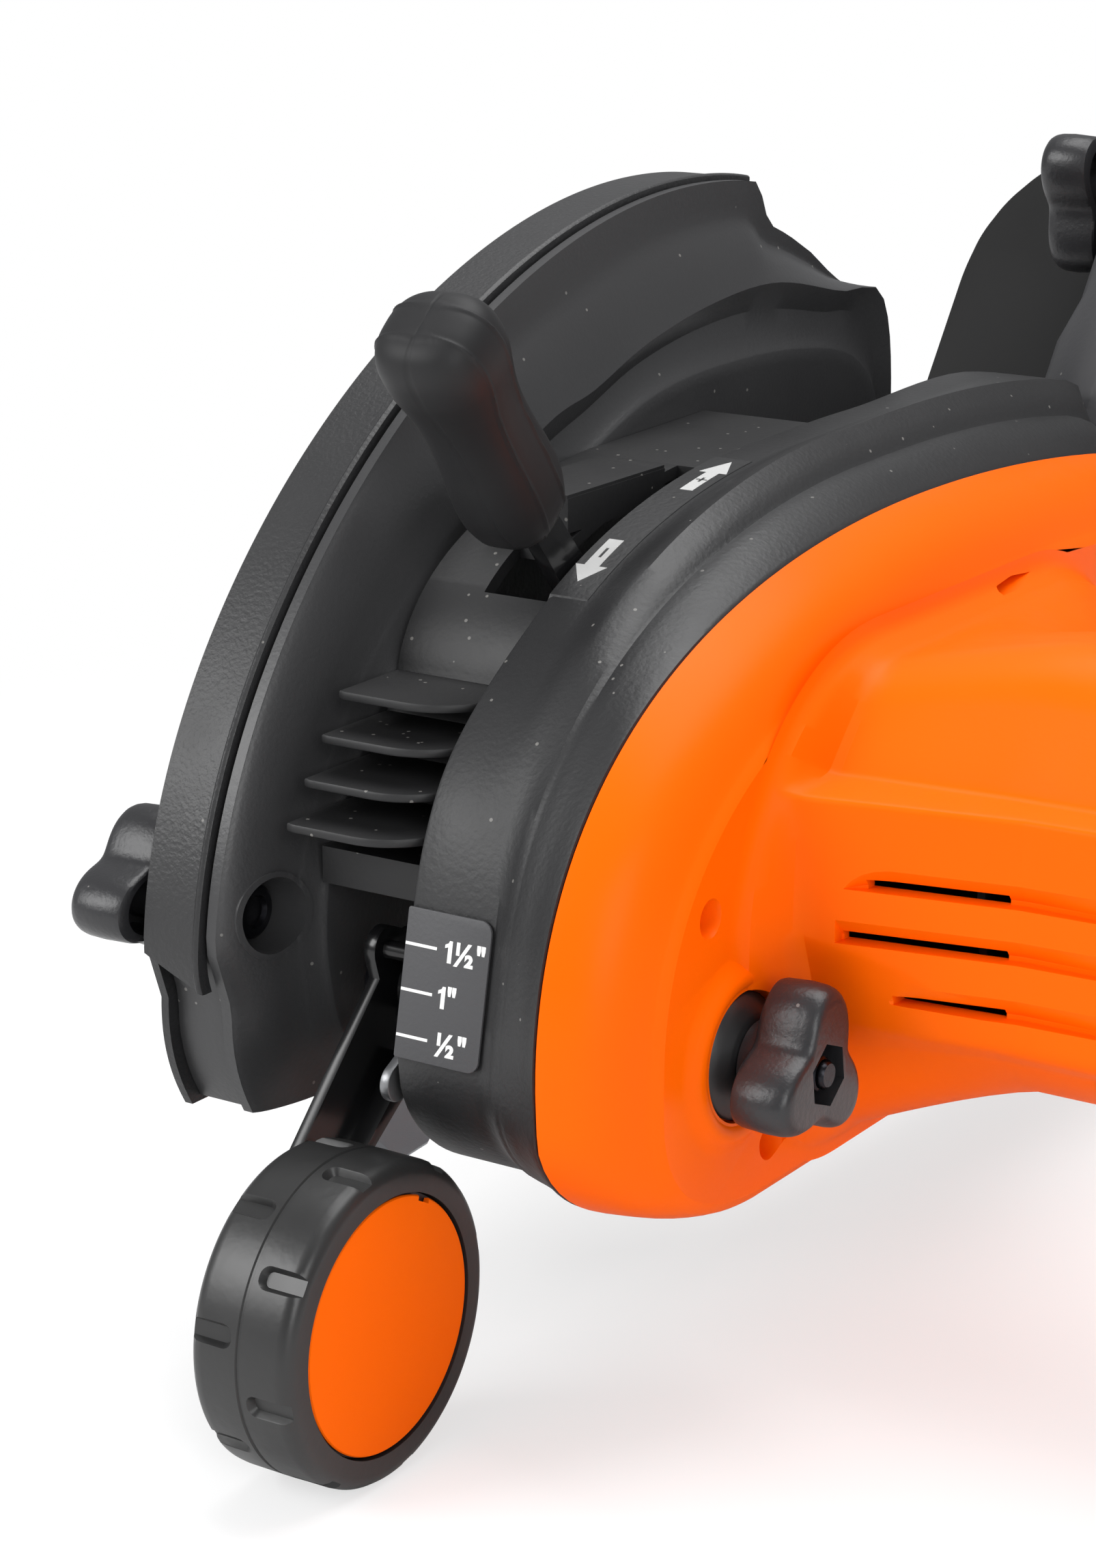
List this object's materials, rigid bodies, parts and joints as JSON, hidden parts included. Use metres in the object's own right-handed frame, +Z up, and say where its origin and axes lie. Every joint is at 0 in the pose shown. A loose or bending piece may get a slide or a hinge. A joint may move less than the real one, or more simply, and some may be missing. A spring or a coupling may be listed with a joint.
{
  "type": "electric lawn edger",
  "caption": "Walk-behind electric lawn edger: guarded edging blade with geared motor, depth lever and front wheel, rear wheels and a telescoping handle.",
  "frame": {"origin": "where the front wheel stands on the floor, under the middle of its width", "axes": "+Z up, -Y the way it travels, +X towards the motor"},
  "size_m": [0.2976, 1.0446, 0.9707],
  "materials": {
    "gear_housing": "moulded black nylon",
    "gear_plate": "die cast",
    "motor_shaft": "ground, hobbed pinion",
    "armature": "varnished copper on laminated iron",
    "cooling_fan": "moulded",
    "spindle_shaft": "ground",
    "spindle_gear": "hobbed",
    "inner_flange": "turned",
    "flanged_blade_nut": "zinc plated",
    "edger_blade": "ground",
    "motor_cover": "moulded orange ABS, fine texture",
    "motor_end_cap": "moulded orange ABS",
    "stator": "laminated iron with windings",
    "brush_plate": "phenolic",
    "motor_bearing_left": "ground",
    "motor_bearing_right": "ground",
    "spindle_bearing_left": "ground",
    "spindle_bearing_right": "ground",
    "neck_cover": "moulded black nylon",
    "scale_plate": "printed",
    "guard_shell": "moulded black nylon",
    "guard_cover": "moulded black nylon",
    "knob_washer": "moulded",
    "pivot_knob": "moulded",
    "pivot_bolt": "black oxide",
    "guard_knob": "moulded",
    "guard_bolt": "black oxide",
    "wheel_arm": "black enamel",
    "depth_pointer": "bare zinc casting",
    "front_axle_bolt": "zinc plated",
    "depth_lever": "black enamel",
    "lever_grip": "moulded",
    "depth_link": "zinc plated",
    "front_tyre": "moulded tread",
    "front_hub": "moulded",
    "front_wheel_cap": "moulded",
    "rear_tyre_left": "moulded",
    "rear_tyre_right": "moulded",
    "rear_hub_left": "moulded",
    "rear_hub_right": "moulded",
    "rear_axle": "zinc plated",
    "axle_cap": "moulded",
    "axle_bracket": "black enamel",
    "shaft_socket": "moulded grey nylon",
    "debris_shield": "moulded",
    "lower_tube": "black enamel",
    "socket_knob": "moulded",
    "tube_clamp": "moulded",
    "clamp_lever": "moulded",
    "auxiliary_handle": "moulded",
    "handle_clamp": "moulded",
    "handle_knob": "moulded",
    "upper_tube": "black enamel",
    "handle_shell_left": "moulded black nylon",
    "handle_shell_right": "moulded black nylon",
    "trigger": "moulded",
    "lock_button": "moulded",
    "power_switch": "moulded",
    "inlet_socket": "moulded"
  },
  "bodies": {
    "frame": {"gear_housing": "gear_housing", "gear_plate": "gear_plate", "motor_cover": "motor_cover", "motor_end_cap": "motor_end_cap", "stator": "stator", "brush_plate": "brush_plate", "motor_bearing_left": "motor_bearing_left", "motor_bearing_right": "motor_bearing_right", "spindle_bearing_left": "spindle_bearing_left", "spindle_bearing_right": "spindle_bearing_right", "neck_cover": "neck_cover", "scale_plate": "scale_plate", "guard_shell": "guard_shell", "guard_cover": "guard_cover", "knob_washer": "knob_washer", "pivot_bolt": "pivot_bolt", "guard_bolt": "guard_bolt", "rear_axle": "rear_axle", "axle_cap": "axle_cap", "axle_bracket": "axle_bracket", "shaft_socket": "shaft_socket", "debris_shield": "debris_shield", "lower_tube": "lower_tube", "tube_clamp": "tube_clamp", "handle_clamp": "handle_clamp"},
    "armature": {"motor_shaft": "motor_shaft", "armature": "armature", "cooling_fan": "cooling_fan"},
    "spindle": {"spindle_shaft": "spindle_shaft", "spindle_gear": "spindle_gear", "inner_flange": "inner_flange", "flanged_blade_nut": "flanged_blade_nut", "edger_blade": "edger_blade"},
    "wheel_arm": {"wheel_arm": "wheel_arm", "depth_pointer": "depth_pointer", "front_axle_bolt": "front_axle_bolt"},
    "depth_lever": {"depth_lever": "depth_lever", "lever_grip": "lever_grip"},
    "depth_link": {"depth_link": "depth_link"},
    "front_wheel": {"front_tyre": "front_tyre", "front_hub": "front_hub", "front_wheel_cap": "front_wheel_cap"},
    "rear_wheel_left": {"rear_tyre_left": "rear_tyre_left", "rear_hub_left": "rear_hub_left"},
    "rear_wheel_right": {"rear_tyre_right": "rear_tyre_right", "rear_hub_right": "rear_hub_right"},
    "pivot_knob": {"pivot_knob": "pivot_knob"},
    "guard_knob": {"guard_knob": "guard_knob"},
    "socket_knob": {"socket_knob": "socket_knob"},
    "handle_knob": {"handle_knob": "handle_knob"},
    "clamp_lever": {"clamp_lever": "clamp_lever"},
    "auxiliary_handle": {"auxiliary_handle": "auxiliary_handle"},
    "upper_shaft": {"upper_tube": "upper_tube", "handle_shell_left": "handle_shell_left", "handle_shell_right": "handle_shell_right", "power_switch": "power_switch", "inlet_socket": "inlet_socket"},
    "trigger": {"trigger": "trigger"},
    "lock_button": {"lock_button": "lock_button"}
  },
  "joints": [
    {"name": "motor_spin", "type": "hinge", "parent": "frame", "child": "armature", "pos_m": [0.1, 0.13322, 0.13019], "axis": [1, 0, 0], "continuous": true},
    {"name": "spindle_spin", "type": "hinge", "parent": "frame", "child": "spindle", "pos_m": [0, 0.16, 0.122], "axis": [1, 0, 0], "continuous": true},
    {"name": "depth_lever_swing", "type": "hinge", "parent": "frame", "child": "depth_lever", "pos_m": [0, 0.16, 0.122], "axis": [-1, 0, 0], "range_deg": [0, 33]},
    {"name": "wheel_arm_swing", "type": "hinge", "parent": "frame", "child": "wheel_arm", "pos_m": [0, 0.0625, 0.0945], "axis": [-1, 0, 0], "range_deg": [0, 55]},
    {"name": "link_turn", "type": "hinge", "parent": "depth_lever", "child": "depth_link", "pos_m": [0, 0.15077, 0.14737], "axis": [-1, 0, 0], "range_deg": [-31.5, 0]},
    {"name": "front_wheel_spin", "type": "hinge", "parent": "wheel_arm", "child": "front_wheel", "pos_m": [0, 0, 0.0381], "axis": [1, 0, 0], "continuous": true},
    {"name": "rear_wheel_left_spin", "type": "hinge", "parent": "frame", "child": "rear_wheel_left", "pos_m": [-0.05, 0.37, 0.05], "axis": [1, 0, 0], "continuous": true},
    {"name": "rear_wheel_right_spin", "type": "hinge", "parent": "frame", "child": "rear_wheel_right", "pos_m": [0.1, 0.37, 0.05], "axis": [1, 0, 0], "continuous": true},
    {"name": "pivot_knob_turn", "type": "hinge", "parent": "frame", "child": "pivot_knob", "pos_m": [0.08, 0.0625, 0.0945], "axis": [1, 0, 0], "range_deg": [0, 900]},
    {"name": "guard_knob_turn", "type": "hinge", "parent": "frame", "child": "guard_knob", "pos_m": [-0.08, 0.033, 0.116], "axis": [-1, 0, 0], "range_deg": [0, 900]},
    {"name": "socket_knob_turn", "type": "hinge", "parent": "frame", "child": "socket_knob", "pos_m": [-0.011, 0.39437, 0.24796], "axis": [-1, 0, 0], "range_deg": [0, 900]},
    {"name": "handle_knob_turn", "type": "hinge", "parent": "frame", "child": "handle_knob", "pos_m": [0.049, 0.51146, 0.46696], "axis": [1, 0, 0], "range_deg": [0, 900]},
    {"name": "clamp_lever_open", "type": "hinge", "parent": "frame", "child": "clamp_lever", "pos_m": [0.024, 0.59324, 0.57441], "axis": [-1, 0, 0], "range_deg": [0, 110]},
    {"name": "auxiliary_handle_tilt", "type": "hinge", "parent": "frame", "child": "auxiliary_handle", "pos_m": [0.024, 0.51146, 0.46696], "axis": [1, 0, 0], "range_deg": [-40, 40]},
    {"name": "shaft_telescope", "type": "slide", "parent": "frame", "child": "upper_shaft", "axis": [0, 0.5878, 0.809], "range_m": [0, 0.12]},
    {"name": "trigger_pull", "type": "hinge", "parent": "upper_shaft", "child": "trigger", "pos_m": [0.024, 0.9256, 0.9485], "axis": [1, 0, 0], "range_deg": [0, 7], "stiffness_Nm_per_rad": 2.5, "springref_deg": -2.86},
    {"name": "lock_button_press", "type": "slide", "parent": "upper_shaft", "child": "lock_button", "axis": [1, 0, 0], "range_m": [0, 0.004], "stiffness_N_per_m": 400, "springref_m": -0.002}
  ],
  "couplings": [
    {"joint": "spindle_spin", "follows": "motor_spin", "ratio": -0.27273},
    {"joint": "wheel_arm_swing", "follows": "depth_lever_swing", "ratio": 1.6666},
    {"joint": "link_turn", "follows": "depth_lever_swing", "ratio": -0.944}
  ]
}
